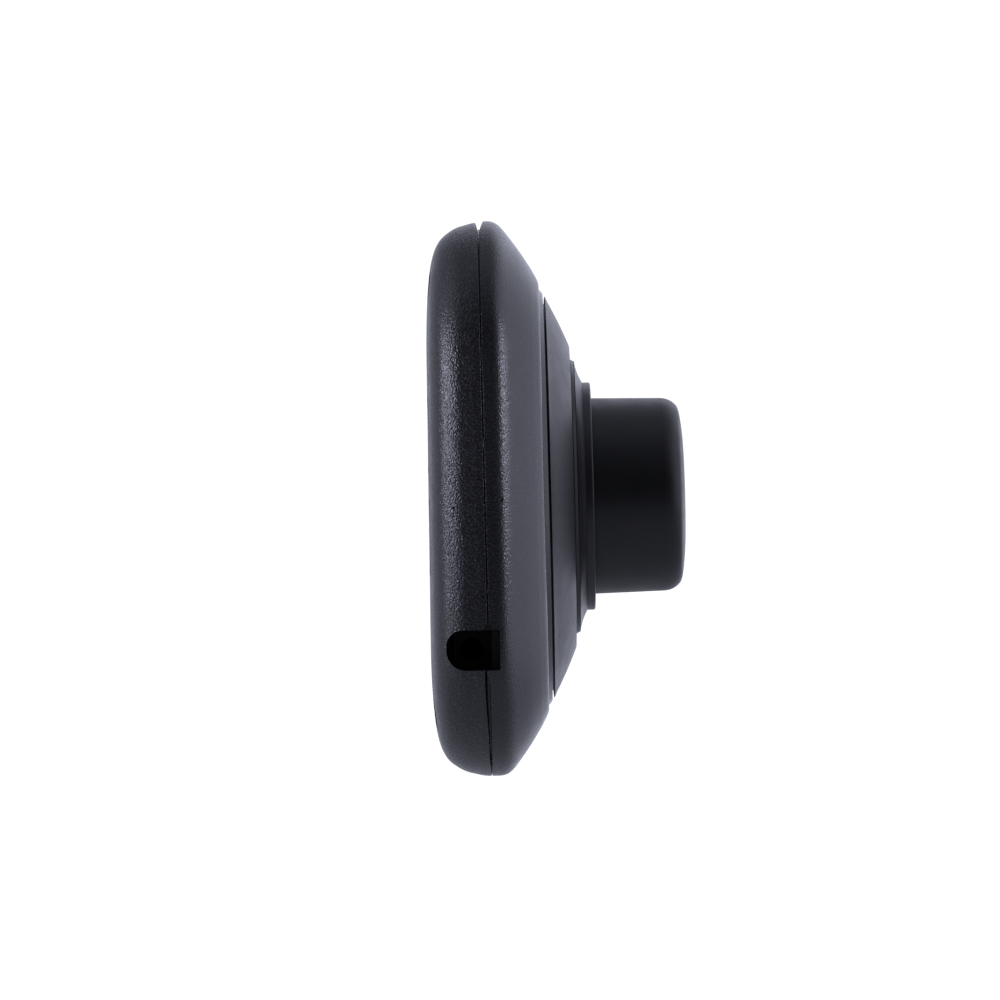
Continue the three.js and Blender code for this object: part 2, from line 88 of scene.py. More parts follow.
# ---- mesh helpers -------------------------------------------------------------
def spline(points, k=5):
    """Centripetal Catmull-Rom through 2-D points."""
    pts = [Vector(p) for p in points]
    ext = [pts[0] * 2 - pts[1]] + pts + [pts[-1] * 2 - pts[-2]]
    out = []
    for i in range(1, len(ext) - 2):
        p0, p1, p2, p3 = ext[i - 1], ext[i], ext[i + 1], ext[i + 2]
        t0 = 0.0
        t1 = t0 + max((p1 - p0).length, 1e-9) ** 0.5
        t2 = t1 + max((p2 - p1).length, 1e-9) ** 0.5
        t3 = t2 + max((p3 - p2).length, 1e-9) ** 0.5
        for j in range(k):
            t = t1 + (t2 - t1) * j / k
            a1 = p0 * ((t1 - t) / (t1 - t0)) + p1 * ((t - t0) / (t1 - t0))
            a2 = p1 * ((t2 - t) / (t2 - t1)) + p2 * ((t - t1) / (t2 - t1))
            a3 = p2 * ((t3 - t) / (t3 - t2)) + p3 * ((t - t2) / (t3 - t2))
            b1 = a1 * ((t2 - t) / (t2 - t0)) + a2 * ((t - t0) / (t2 - t0))
            b2 = a2 * ((t3 - t) / (t3 - t1)) + a3 * ((t - t1) / (t3 - t1))
            out.append(b1 * ((t2 - t) / (t2 - t1)) + b2 * ((t - t1) / (t2 - t1)))
    out.append(pts[-1])
    return [tuple(p) for p in out]


def fillet(points, closed=True, k=5):
    """Rounds the corners of a polyline of (a, b) or (a, b, radius)."""
    out, n = [], len(points)
    for i, p in enumerate(points):
        r = p[2] if len(p) > 2 else 0
        if not r or (not closed and i in (0, n - 1)):
            out.append((p[0], p[1]))
            continue
        c = Vector(p[:2])
        u, v = Vector(points[i - 1][:2]) - c, Vector(points[(i + 1) % n][:2]) - c
        lu, lv = u.length, v.length
        u, v = u / lu, v / lv
        half = math.acos(max(-1, min(1, u.dot(v)))) / 2
        d = min(r / math.tan(half), lu * 0.49, lv * 0.49)
        r = d * math.tan(half)
        centre = c + (u + v).normalized() * (r / math.sin(half))
        a0, a1 = (c + u * d) - centre, (c + v * d) - centre
        ang = math.atan2(a0.x * a1.y - a0.y * a1.x, a0.dot(a1))
        for j in range(k + 1):
            t = ang * j / k
            q = Vector((a0.x * math.cos(t) - a0.y * math.sin(t), a0.x * math.sin(t) + a0.y * math.cos(t))) + centre
            out.append((q.x, q.y))
    return out


def mesh_object(name, verts, faces):
    me = bpy.data.meshes.new(name)
    me.from_pydata([tuple(v) for v in verts], [], faces)
    bm = bmesh.new()
    bm.from_mesh(me)
    bmesh.ops.remove_doubles(bm, verts=bm.verts, dist=1e-5)
    bmesh.ops.recalc_face_normals(bm, faces=bm.faces)
    if bm.calc_volume(signed=True) < 0:
        bmesh.ops.reverse_faces(bm, faces=bm.faces)
    bm.to_mesh(me)
    bm.free()
    o = bpy.data.objects.new(name, me)
    bpy.context.scene.collection.objects.link(o)
    return o


def outline(hw, hh, r, n=20, side=0):
    out = []
    for q, (cx, cz) in enumerate(((hw - r, hh - r), (-(hw - r), hh - r), (-(hw - r), -(hh - r)), (hw - r, -(hh - r)))):
        for i in range(n + 1):
            a = (q + i / n) * math.pi / 2
            out.append((cx + r * math.cos(a), cz + r * math.sin(a)))
        if q == 1:
            out += [(-hw, (hh - r) * (1 - 2 * i / side)) for i in range(1, side)]
    out += [(hw, (hh - r) * (2 * i / side - 1)) for i in range(1, side)]
    return out


def prism(name, rings):
    """Closed solid through rings of equal point counts, flat caps."""
    m = len(rings[0])
    verts = [p for r in rings for p in r]
    faces = [tuple(range(m)), tuple(reversed([(len(rings) - 1) * m + i for i in range(m)]))]
    for k in range(len(rings) - 1):
        for i in range(m):
            a, b = k * m + i, k * m + (i + 1) % m
            faces.append((a, b, b + m, a + m))
    return mesh_object(name, verts, faces)


def smooth(a, b, v):
    t = max(0.0, min(1.0, (v - a) / (b - a)))
    return t * t * (3 - 2 * t)


FLASH = [(20.3, 0.35, 0.105), (14.9, 0.6, 0.105), (13.6, 0.3, 0.105), (5.7, 0.9, 0.105), (-2.6, 0.35, 0.105), (-9.8, 0.3, 0.105),
         (-18.5, 0.3, 0.36), (-20.4, 0.35, 0.30)]


def front_edge(x, y, z, t):
    """Parting edge of the front cover: tight, with slivers of flash on the slot's side, and a V along the top."""
    if y < -1.0:
        return x, y, z
    u = max(0.0, min(1.0, (-y - 0.15) / 0.35))
    top = smooth(28.2, 29.8, z)
    gap = 0.065 + 0.05 * top + 0.012 * math.sin(z * 1.3 + 0.7 * x) * (abs(z) < 15) - 0.053 * smooth(-27.6, -29.2, z)
    if x < 0 and u < 0.8:
        for at, half, rise in FLASH:
            gap -= rise * (1 - smooth(0.2 * half, half, abs(z - at)))
    edge = gap + 0.10 + 0.34 * top
    if y > -0.5:
        return x, -(gap + (edge - gap) * u), z - 0.82 * top * (1 - u) ** 1.25
    return x, -(edge + (-y - 0.5) / 0.5 * (1.0 - edge)), z


def rear_edge(x, y, z, t):
    """Parting edge of the rear cover, a hair lower than the front one along the top and standing off below the slot."""
    low = 0.14 * smooth(22.0, 29.5, z)
    if y > 1.1:
        return x, y, z - low
    u = max(0.0, min(1.0, (y - 0.15) / 0.35))
    top = smooth(28.2, 29.8, z)
    foot = smooth(-27.6, -29.2, z)
    gap = 0.06 + 0.05 * top - 0.048 * foot
    if x < 0:
        gap += 0.36 * smooth(-17.6, -18.6, z) * (1 - 0.75 * smooth(-19.5, -27.0, z)) * (1 - foot)
    edge = gap + 0.11 + 0.12 * top
    if y < 0.5:
        return x, gap + (edge - gap) * u, z - low - 0.78 * top * (1 - u) ** 1.25
    return x, edge + (y - 0.5) / 0.6 * (1.1 - edge), z - low


def loft(name, levels, lean=0.0, n=20, seam=None):
    rings = []
    for t, y in levels:
        t = max(t, 0.0)
        ring = outline(CASE_W / 2 - t, CASE_H / 2 - t, max(CORNER_R - t, 1.5), n, 100 if seam else 1)
        ring = [(x, y * (1 - lean * z) if y > 0 else y, z) for x, z in ring]
        rings.append([seam(*p, t) for p in ring] if seam else ring)
    if seam:
        cap = outline(CASE_W / 2 - 1.3, CASE_H / 2 - 1.3, CORNER_R - 1.3, n, 100)
        rings.insert(0, [(x, math.copysign(0.1, levels[-1][1]), z) for x, z in cap])
    return prism(name, rings)


def interp(table, t):
    for (a, ya), (b, yb) in zip(table, table[1:]):
        if a <= t <= b:
            return ya + (yb - ya) * (t - a) / (b - a)
    return table[-1][1]


def plate(name, hw, hh, r, levels, cx=0.0, cz=0.0, n=8, face=None):
    """Rounded plate normal to Y; levels are (inset, y) pairs. face(z) adds a leaning plane's depth."""
    rings = []
    for t, y in levels:
        ring = outline(hw - t, hh - t, max(r - t, 0.05), n)
        rings.append([(cx + x, y + (face(cx + x, cz + z) if face else 0), cz + z) for x, z in ring])
    return prism(name, rings)


def block(name, x0, y0, z0, x1, y1, z1):
    v = [(x, y, z) for x in (x0, x1) for y in (y0, y1) for z in (z0, z1)]
    f = [(0, 1, 3, 2), (4, 6, 7, 5), (0, 4, 5, 1), (2, 3, 7, 6), (0, 2, 6, 4), (1, 5, 7, 3)]
    return mesh_object(name, v, f)


def tube(name, levels, axis="y", p=0.0, q=0.0, seg=24):
    """Stack of circles, levels are (radius, position) along the axis through (p, q)."""
    rings = []
    for r, t in levels:
        ring = []
        for i in range(seg):
            a = i / seg * 2 * math.pi
            u, v = r * math.cos(a), r * math.sin(a)
            ring.append({"y": (p + u, t, q + v), "x": (t, p + u, q + v), "z": (p + u, q + v, t)}[axis])
        rings.append(ring)
    return prism(name, rings)


def lathe(name, profile, seg=144):
    """Revolves a closed (radius, y) profile about the lens axis."""
    verts, faces, index = [], [], []
    for r, y in profile:
        if r < 1e-6:
            index.append([len(verts)] * seg)
            verts.append((0.0, y, 0.0))
        else:
            index.append([len(verts) + i for i in range(seg)])
            verts += [(r * math.cos(2 * math.pi * i / seg), y, r * math.sin(2 * math.pi * i / seg)) for i in range(seg)]
    m = len(profile)
    for k in range(m):
        a, b = index[k], index[(k + 1) % m]
        if a[0] == a[1] and b[0] == b[1]:
            continue
        for i in range(seg):
            j = (i + 1) % seg
            f = [a[i], a[j], b[j], b[i]]
            g = []
            for x in f:
                if x not in g:
                    g.append(x)
            faces.append(tuple(g))
    return mesh_object(name, verts, faces)


def join(objs):
    base = objs[0]
    bm = bmesh.new()
    for o in objs:
        bm.from_mesh(o.data)
    bm.to_mesh(base.data)
    bm.free()
    for o in objs[1:]:
        bpy.data.objects.remove(o)
    return base


def boolean(target, tools, operation):
    tool = join(tools) if isinstance(tools, list) else tools
    mod = target.modifiers.new("b", "BOOLEAN")
    mod.operation, mod.solver, mod.object = operation, "EXACT", tool
    mod.use_self = False
    bpy.context.view_layer.update()
    dg = bpy.context.evaluated_depsgraph_get()
    me = bpy.data.meshes.new_from_object(target.evaluated_get(dg))
    target.modifiers.clear()
    old = target.data
    target.data = me
    bpy.data.meshes.remove(old)
    bpy.data.objects.remove(tool)
    return target


def cut(target, *tools):
    return boolean(target, list(tools), "DIFFERENCE")


def fuse(target, *tools):
    return boolean(target, list(tools), "UNION")


def finish_piece(o, mat, body, nodes, angle=32, bevel=0.0, segments=2, weld=True):
    """To the row frame in metres, cleaned, smooth shaded with sharp edges kept, and riding on its body."""
    o.data.transform(TO_ROW)
    bm = bmesh.new()
    bm.from_mesh(o.data)
    bmesh.ops.remove_doubles(bm, verts=bm.verts, dist=5e-7)
    bmesh.ops.dissolve_degenerate(bm, edges=bm.edges, dist=1e-7)
    rim = [e for e in bm.edges if len(e.link_faces) == 1]
    if rim:
        bmesh.ops.holes_fill(bm, edges=rim, sides=8)
    loose = [v for v in bm.verts if not v.link_faces]
    bmesh.ops.delete(bm, geom=loose, context="VERTS")
    bm.to_mesh(o.data)
    bm.free()
    o.data.polygons.foreach_set("use_smooth", [True] * len(o.data.polygons))
    if bevel:
        b = o.modifiers.new("edge", "BEVEL")
        b.width, b.segments, b.limit_method, b.angle_limit = bevel / 1000, segments, "ANGLE", math.radians(40)
        b.use_clamp_overlap, b.harden_normals, b.miter_outer = True, False, "MITER_ARC"
        bpy.context.view_layer.update()
        me = bpy.data.meshes.new_from_object(o.evaluated_get(bpy.context.evaluated_depsgraph_get()))
        o.modifiers.clear()
        o.data = me
    o.data.set_sharp_from_angle(angle=math.radians(angle))
    w = o.modifiers.new("normals", "WEIGHTED_NORMAL")
    w.keep_sharp, w.weight = True, 60
    o.data.materials.clear()
    o.data.materials.append(mat)
    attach(o, body)
    if nodes:
        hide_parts(*nodes)
    return o


# ---- materials ----------------------------------------------------------------
class Nodes:
    def __init__(self, name):
        self.mat = bpy.data.materials.new(name)
        self.mat.use_nodes = True
        self.t = self.mat.node_tree
        self.bsdf = self.t.nodes["Principled BSDF"]
        self.coord = self.t.nodes.new("ShaderNodeTexCoord").outputs["Object"]

    def link(self, a, b):
        self.t.links.new(a, b)

    def noise(self, scale, detail=2.0, rough=0.5, distortion=0.0, vector=None):
        n = self.t.nodes.new("ShaderNodeTexNoise")
        n.inputs["Scale"].default_value = scale
        n.inputs["Detail"].default_value = detail
        n.inputs["Roughness"].default_value = rough
        n.inputs["Distortion"].default_value = distortion
        self.link(vector or self.coord, n.inputs["Vector"])
        return n.outputs["Fac"]

    def voronoi(self, scale, feature="F1", randomness=1.0, vector=None):
        n = self.t.nodes.new("ShaderNodeTexVoronoi")
        n.feature = feature
        n.inputs["Scale"].default_value = scale
        n.inputs["Randomness"].default_value = randomness
        self.link(vector or self.coord, n.inputs["Vector"])
        return n.outputs["Distance"]

    def ramp(self, fac, stops, interpolation="LINEAR"):
        n = self.t.nodes.new("ShaderNodeValToRGB")
        n.color_ramp.interpolation = interpolation
        while len(n.color_ramp.elements) < len(stops):
            n.color_ramp.elements.new(0.5)
        for e, (p, c) in zip(n.color_ramp.elements, stops):
            e.position = p
            e.color = (*c, 1) if len(c) == 3 else c
        self.link(fac, n.inputs["Fac"])
        return n.outputs["Color"]

    def range(self, fac, a, b, c, d):
        n = self.t.nodes.new("ShaderNodeMapRange")
        for k, v in zip(("From Min", "From Max", "To Min", "To Max"), (a, b, c, d)):
            n.inputs[k].default_value = v
        self.link(fac, n.inputs["Value"])
        return n.outputs["Result"]

    def math(self, op, a, b=None, c=None, clamp=False):
        n = self.t.nodes.new("ShaderNodeMath")
        n.operation = op
        n.use_clamp = clamp
        for i, x in enumerate((a, b, c)):
            if x is None:
                continue
            if isinstance(x, (int, float)):
                n.inputs[i].default_value = x
            else:
                self.link(x, n.inputs[i])
        return n.outputs[0]

    def mix(self, fac, a, b):
        n = self.t.nodes.new("ShaderNodeMix")
        n.data_type = "RGBA"
        for i, x in ((0, fac), (6, a), (7, b)):
            if isinstance(x, (int, float)):
                n.inputs[i].default_value = x
            elif isinstance(x, tuple):
                n.inputs[i].default_value = (*x, 1)
            else:
                self.link(x, n.inputs[i])
        return n.outputs[2]

    def bump(self, height, distance, strength=1.0, normal=None):
        n = self.t.nodes.new("ShaderNodeBump")
        n.inputs["Strength"].default_value = strength
        n.inputs["Distance"].default_value = distance
        self.link(height, n.inputs["Height"])
        if normal is not None:
            self.link(normal, n.inputs["Normal"])
        return n.outputs["Normal"]

    def set(self, **kw):
        for k, v in kw.items():
            s = self.bsdf.inputs[k.replace("_", " ")]
            if isinstance(v, (int, float)):
                s.default_value = v
            elif isinstance(v, tuple):
                s.default_value = (*v, 1) if len(v) == 3 else v
            else:
                self.link(v, s)
        return self


def moulded(name, colour, rough, grain=5200.0, depth=0.010, fine=0.0, spec=0.5, var=0.18, tint=None, wear=0.0, band=None):
    """Moulded plastic: spark grain from two noises, cloudy colour and gloss variation, faint rub marks."""
    m = Nodes(name)
    cloud = m.noise(95.0, 4.0, 0.6)
    c0 = tuple(c * (1 - var) for c in colour)
    c1 = tuple(c * (1 + var) for c in (tint or colour))
    col = m.mix(m.range(cloud, 0.3, 0.7, 0.0, 1.0), c0, c1)
    grain_n = m.noise(grain, 1.0, 0.5)
    cell = m.voronoi(grain * 0.8, "F1")
    height = m.math("SUBTRACT", grain_n, m.math("MULTIPLY", cell, 0.8))
    if band:
        sep = m.t.nodes.new("ShaderNodeSeparateXYZ")
        m.link(m.coord, sep.inputs[0])
        height = m.math("MULTIPLY", height, m.range(sep.outputs["Y"], band[0], band[1], band[2], 1.0))
    if wear:
        dust = m.noise(grain * 0.85, 0.0, 0.5)
        col = m.mix(m.range(dust, 0.56, 0.72, 0.0, wear), col, (0.16, 0.16, 0.18))
    gloss = m.noise(420.0, 3.0, 0.6)
    r = m.range(gloss, 0.3, 0.7, rough - 0.035, rough + 0.045)
    n = m.bump(height, depth / 1000.0)
    if fine:
        n = m.bump(m.noise(grain * 3.1, 1.0, 0.5), fine / 1000.0, normal=n)
    m.set(Base_Color=col, Roughness=r, Normal=n, Specular_IOR_Level=spec)
    return m.mat


def metal(name, colour, rough, scale=900.0, depth=0.002, stretch=None, metallic=1.0):
    m = Nodes(name)
    vec = None
    if stretch:
        mp = m.t.nodes.new("ShaderNodeMapping")
        mp.inputs["Scale"].default_value = stretch
        m.link(m.coord, mp.inputs["Vector"])
        vec = mp.outputs["Vector"]
    streak = m.noise(scale, 4.0, 0.6, vector=vec)
    col = m.mix(m.range(streak, 0.3, 0.7, 0, 1), tuple(c * 0.86 for c in colour), tuple(min(1, c * 1.1) for c in colour))
    stain = m.noise(260.0, 3.0, 0.6)
    m.set(Base_Color=col, Metallic=metallic, Roughness=m.range(stain, 0.3, 0.7, rough * 0.8, rough * 1.25),
          Normal=m.bump(streak, depth / 1000.0))
    return m.mat


def board_mat(name):
    m = Nodes(name)
    vec = m.t.nodes.new("ShaderNodeMapping")
    vec.inputs["Rotation"].default_value = (math.radians(90), 0, 0)
    m.link(m.coord, vec.inputs["Vector"])
    brick = m.t.nodes.new("ShaderNodeTexBrick")
    brick.inputs["Scale"].default_value = 210.0
    brick.inputs["Mortar Size"].default_value = 0.035
    brick.offset, brick.squash = 0.37, 1.6
    m.link(vec.outputs["Vector"], brick.inputs["Vector"])
    mask = m.math("MULTIPLY", brick.outputs["Fac"], m.range(m.noise(140.0, 2.0, 0.5), 0.45, 0.55, 0.0, 1.0))
    base = m.mix(m.range(m.noise(70.0, 3.0, 0.6), 0.3, 0.7, 0, 1), (0.0035, 0.010, 0.0075), (0.005, 0.014, 0.010))
    pads = m.range(m.voronoi(520.0), 0.10, 0.13, 1.0, 0.0)
    col = m.mix(m.math("MULTIPLY", mask, 0.8), base, (0.012, 0.032, 0.024))
    col = m.mix(m.math("MULTIPLY", pads, 0.5), col, (0.045, 0.043, 0.034))
    m.set(Base_Color=col, Roughness=m.range(m.noise(500.0, 2.0, 0.5), 0.3, 0.7, 0.22, 0.36),
          Normal=m.bump(m.math("ADD", mask, pads), 0.02 / 1000), Coat_Weight=0.25, Coat_Roughness=0.15)
    return m.mat


def glass_mat(name, tint, rough=0.0, ior=1.52, film=0.0):
    m = Nodes(name)
    smear = m.noise(230.0, 3.0, 0.6)
    m.set(Base_Color=m.mix(m.range(smear, 0.35, 0.7, 0, 1), tint, tuple(c * 0.93 for c in tint)),
          Transmission_Weight=1.0, IOR=ior, Roughness=m.range(smear, 0.4, 0.75, rough, rough + 0.02),
          Normal=m.bump(m.noise(160.0, 1.0, 0.5), 0.0006 / 1000))
    if film:
        m.set(Thin_Film_Thickness=film, Thin_Film_IOR=1.38)
    return m.mat


# The two covers: spark-eroded texture, blue-grey black
MAT = {}
MAT["rear"] = moulded("rear_cover_plastic", (0.0092, 0.0092, 0.0114), 0.25, grain=5400, depth=0.046, fine=0.0, wear=0.20, spec=0.6)
MAT["front"] = moulded("front_cover_plastic", (0.0098, 0.0099, 0.0122), 0.26, grain=5400, depth=0.036, fine=0.0, wear=0.10, spec=0.6,
                       band=(-0.0038, -0.0028, 0.30))
MAT["bezel"] = moulded("bezel_plastic", (0.0110, 0.0112, 0.0140), 0.36, grain=6400, depth=0.014, fine=0.001, spec=0.55)
MAT["collar"] = moulded("collar_plastic", (0.0120, 0.0120, 0.0150), 0.36, grain=6000, depth=0.006, fine=0.001)
MAT["barrel"] = moulded("barrel_plastic", (0.0048, 0.0048, 0.0057), 0.40, grain=7600, depth=0.0025, fine=0.0008, spec=0.46)
MAT["baffle"] = moulded("baffle_plastic", (0.0040, 0.0040, 0.0045), 0.55, grain=6000, depth=0.003)
MAT["key"] = moulded("key_plastic", (0.0075, 0.0075, 0.0088), 0.33, grain=6500, depth=0.003, fine=0.001)
MAT["rail"] = moulded("rail_plastic", (0.0075, 0.0075, 0.0088), 0.42, grain=4800, depth=0.006)
MAT["inner"] = moulded("inner_plastic", (0.0120, 0.0120, 0.0135), 0.5, grain=3000, depth=0.010)
MAT["socket"] = moulded("socket_plastic", (0.0020, 0.0020, 0.0022), 0.60, grain=5000, depth=0.003, spec=0.2)
MAT["card"] = moulded("card_plastic", (0.0130, 0.0130, 0.0150), 0.36, grain=5200, depth=0.003)
MAT["chip"] = moulded("chip_epoxy", (0.018, 0.018, 0.020), 0.5, grain=6200, depth=0.006)
MAT["ferrite"] = moulded("pressed_ferrite", (0.05, 0.05, 0.055), 0.62, grain=3200, depth=0.020)
MAT["ceramic"] = moulded("sensor_ceramic", (0.09, 0.09, 0.12), 0.35, grain=6000, depth=0.003)
MAT["cream"] = moulded("connector_plastic", (0.62, 0.57, 0.44), 0.45, grain=4200, depth=0.005)
MAT["plunger"] = moulded("switch_plunger_plastic", (0.02, 0.02, 0.022), 0.4, grain=6000, depth=0.003)
MAT["tape"] = moulded("foam_tape", (0.72, 0.66, 0.48), 0.85, grain=1500, depth=0.05)
MAT["gasket"] = moulded("foam_gasket", (0.012, 0.012, 0.013), 0.92, grain=1700, depth=0.05)
MAT["led"] = moulded("led_cap", (0.78, 0.75, 0.55), 0.25, grain=3000, depth=0.002)
MAT["film"] = moulded("ribbon_film", (0.40, 0.17, 0.035), 0.3, grain=900, depth=0.003)
MAT["nickel"] = metal("nickel_plate", (0.58, 0.585, 0.60), 0.28)
MAT["black_steel"] = metal("black_oxide_steel", (0.055, 0.055, 0.060), 0.34)
MAT["anodised"] = metal("black_anodised", (0.020, 0.020, 0.023), 0.38, scale=1800, metallic=0.6)
MAT["foil"] = metal("battery_foil", (0.60, 0.62, 0.66), 0.32, scale=300, depth=0.02)
MAT["tray"] = metal("backlight_tray", (0.62, 0.63, 0.65), 0.35, stretch=(1, 1, 12))
MAT["can"] = metal("speaker_can", (0.14, 0.14, 0.15), 0.4)
MAT["board"] = board_mat("circuit_board")
MAT["lens"] = glass_mat("lens_glass", (0.86, 0.90, 0.98), film=420)
MAT["inner_lens"] = glass_mat("inner_lens_glass", (0.90, 0.93, 0.98))
MAT["filter"] = glass_mat("filter_glass", (0.45, 0.78, 0.86))
MAT["pipe"] = glass_mat("light_pipe_plastic", (0.85, 0.90, 0.94), rough=0.25, ior=1.49)


def window_mat():
    """Smoke-tinted window: black printed border, slightly lighter live area, faint wipe marks."""
    m = Nodes("screen_window_plastic")
    sep = m.t.nodes.new("ShaderNodeSeparateXYZ")
    m.link(m.coord, sep.inputs[0])
    x = m.math("ABSOLUTE", sep.outputs["X"])
    z = m.math("ABSOLUTE", m.math("ADD", sep.outputs["Z"], OZ / 1000))
    inside = m.math("MULTIPLY", m.range(x, 0.02440, 0.02446, 1, 0), m.range(z, 0.01830, 0.01836, 1, 0))
    wipe = m.noise(120.0, 4.0, 0.65, 1.5)
    live = m.mix(m.range(wipe, 0.3, 0.7, 0, 1), (0.0125, 0.0140, 0.0185), (0.0150, 0.0165, 0.0215))
    m.set(Base_Color=m.mix(inside, (0.0025, 0.0025, 0.0030), live),
          Roughness=m.range(wipe, 0.45, 0.75, 0.03, 0.09), Specular_IOR_Level=0.55,
          Normal=m.bump(m.noise(90.0, 1.0, 0.5), 0.0015 / 1000), Coat_Weight=0.35, Coat_Roughness=0.02)
    return m.mat


MAT["window"] = window_mat()


def ink_mat():
    m = Nodes("printed_ink")
    n = m.noise(5200.0, 2.0, 0.6)
    m.set(Base_Color=m.mix(m.range(n, 0.3, 0.7, 0, 1), (0.50, 0.50, 0.50), (0.62, 0.62, 0.63)), Roughness=m.range(n, 0.3, 0.7, 0.5, 0.65),
          Normal=m.bump(n, 0.002 / 1000))
    return m.mat


MAT["ink"] = ink_mat()


def panel_mat():
    m = Nodes("screen_panel_glass")
    vec = m.voronoi(2600.0, randomness=0.0)
    m.set(Base_Color=m.mix(m.range(vec, 0.2, 0.5, 0, 1), (0.008, 0.010, 0.016), (0.014, 0.016, 0.024)), Roughness=m.range(m.noise(300.0), 0.3, 0.7, 0.08, 0.14))
    return m.mat


MAT["panel"] = panel_mat()

# ---- camera ---------------------------------------------------------------------
# Side view from -X, level with the lens axis, rolled 1.45 degrees.
cam_data = bpy.data.cameras.new("camera")
cam = bpy.data.objects.new("camera", cam_data)
bpy.context.scene.collection.objects.link(cam)
cam_data.sensor_width, cam_data.lens = 36.0, 223.3
cam_data.clip_start, cam_data.clip_end = 0.01, 20.0
roll = math.radians(1.45)
c, s = math.cos(roll), math.sin(roll)
xc, yc, zc = Vector((0, -c, -s)), Vector((0, -s, c)), Vector((-1, 0, 0))
rot = Matrix((xc, yc, zc)).transposed().to_4x4()
cam.matrix_world = Matrix.Translation(row(-700, -1.6, -0.19)) @ rot
bpy.context.scene.camera = cam

# ---- shared cutters ----------------------------------------------------------------


def av_slot():
    r = AV_H / 2
    pts = fillet([(AV_FLAT_Y, -r, 0.1), (AV_FLAT_Y, r, 0.1), (AV_APEX_Y, r, 1.75), (AV_APEX_Y, -r, 2.45)], k=14)
    return prism("av_slot", [[(x, y, PORT_Z + z) for y, z in pts] for x in (-46, -33.5)])


def usb_slot():
    hy, hz, yc = 2.4, 4.35, JACK_Y - 0.15
    pts = fillet([(yc - hy, PORT_Z - hz, 0.35), (yc + hy, PORT_Z - hz, 0.35), (yc + hy, PORT_Z + hz, 0.35), (yc - hy, PORT_Z + hz, 0.35)], k=4)
    return prism("usb_slot", [[(x, y, z) for y, z in pts] for x in (38, 46)])


def pocket_cut():
    pts = fillet([(POCKET_X0, RAIL_Y - POCKET_HALF, 0.5), (POCKET_X1, RAIL_Y - POCKET_HALF, 0.5), (POCKET_X1, RAIL_Y + POCKET_HALF, 0.5), (POCKET_X0, RAIL_Y + POCKET_HALF, 0.5)], k=5)
    return prism("pocket", [[(x, y, z) for x, y in pts] for z in (POCKET_FLOOR, 31)])


def card_cut():
    return block("card_cut", CARD_X - 6.1, -0.35, -31, CARD_X + 6.1, 1.05, -27)


def card_finger():
    return tube("finger", [(3.9, -32), (3.9, -30.0), (3.35, -29.35)], "z", CARD_X, 0.35, 40)


def seam_notch():
    return block("notch", -46, -0.36, PORT_Z + AV_H / 2 - 0.3, -43.12, 0.4, PORT_Z + AV_H / 2 + 0.5)


REAR_SECTION = spline([(0.12, 0.15), (0.03, 0.28), (0.0, 0.5), (0.05, 0.85), (0.15, 1.2), (0.31, 1.85), (0.52, 2.54), (0.92, 3.3), (1.7, 4.30), (2.6, 4.89),
                       (3.5, 5.24), (4.9, 5.57), (7.4, 5.86), (10.0, 6.03), (12.4, 6.10)], 3) + [(14.0, 6.10)]
REAR_OUTER = [p for p in REAR_SECTION if p[1] >= 0.5]


def rear_skin(x, z):
    """Depth of the rear cover's outer face beside the screen."""
    return interp(REAR_OUTER, CASE_W / 2 - abs(x)) * (1 - REAR_LEAN * z)


# ---- front cover -----------------------------------------------------------------------
FRONT = [(0.12, -0.15), (0.03, -0.28), (0.0, -0.5), (0.0, -0.9), (0.05, -1.32), (0.20, -1.74), (0.50, -2.17), (0.94, -2.59), (1.53, -3.05), (2.31, -3.62),
         (3.39, -4.38), (4.50, -5.09), (5.30, -5.57), (5.71, -5.79), (6.08, -5.99), (6.45, -6.17), (6.7, -6.27)]
front = loft("front_cover", spline(FRONT, 3) + [(6.95, -6.34), (7.25, -6.35)], seam=front_edge)
fuse(front, loft("lip", [(LIP_IN, -1.2), (LIP_IN, LIP_H - 0.1), (LIP_IN + 0.1, LIP_H)]))
cut(front, loft("cavity", [(WALL, 1.2), (WALL, -1.4), (2.2, -2.4), (5.4, -4.65)]))
boss_profile = fillet([(0, -5.6), (24.0, -5.6), (24.0, -6.1), (22.98, -6.95, 0.14), (22.0, -6.95), (0, -6.95)], closed=False, k=8)
fuse(front, lathe("boss", boss_profile + [], 144))
fuse(front, *[tube("post", [(1.8, -5.0), (1.8, 1.0)], "y", x, z, 24) for x, z in SCREWS])
cut(front, tube("recess", [(20.4, -4.0), (20.4, -8.0)], "y", 0, 0, 144))
holes = [tube("hole", [(0.55, -4.0), (0.55, -6.2), (0.72, -6.4), (0.72, -7.0)], "y", 29.9 + dx, dz, 20)
         for dx, dz in ((0, 0), (2.1, 0), (-2.1, 0), (1.05, 1.82), (-1.05, 1.82), (1.05, -1.82), (-1.05, -1.82))]
holes.append(tube("mic", [(0.5, -4.0), (0.5, -6.2), (0.65, -6.4), (0.65, -7.0)], "y", -30, 15.6, 20))
bores = [tube("bore", [(0.8, -3.9), (0.8, 2)], "y", x, z, 16) for x, z in SCREWS]
cut(front, av_slot(), usb_slot(), pocket_cut(), card_cut(), *holes, *bores)
cut(front, seam_notch(), card_finger(), tube("nick", [(0.46, -46), (0.40, -43.98), (0.30, -43.72), (0.12, -43.62)], "x", -1.80, -0.1, 20))
finish_piece(front, MAT["front"], "camera", ["front_shell"])

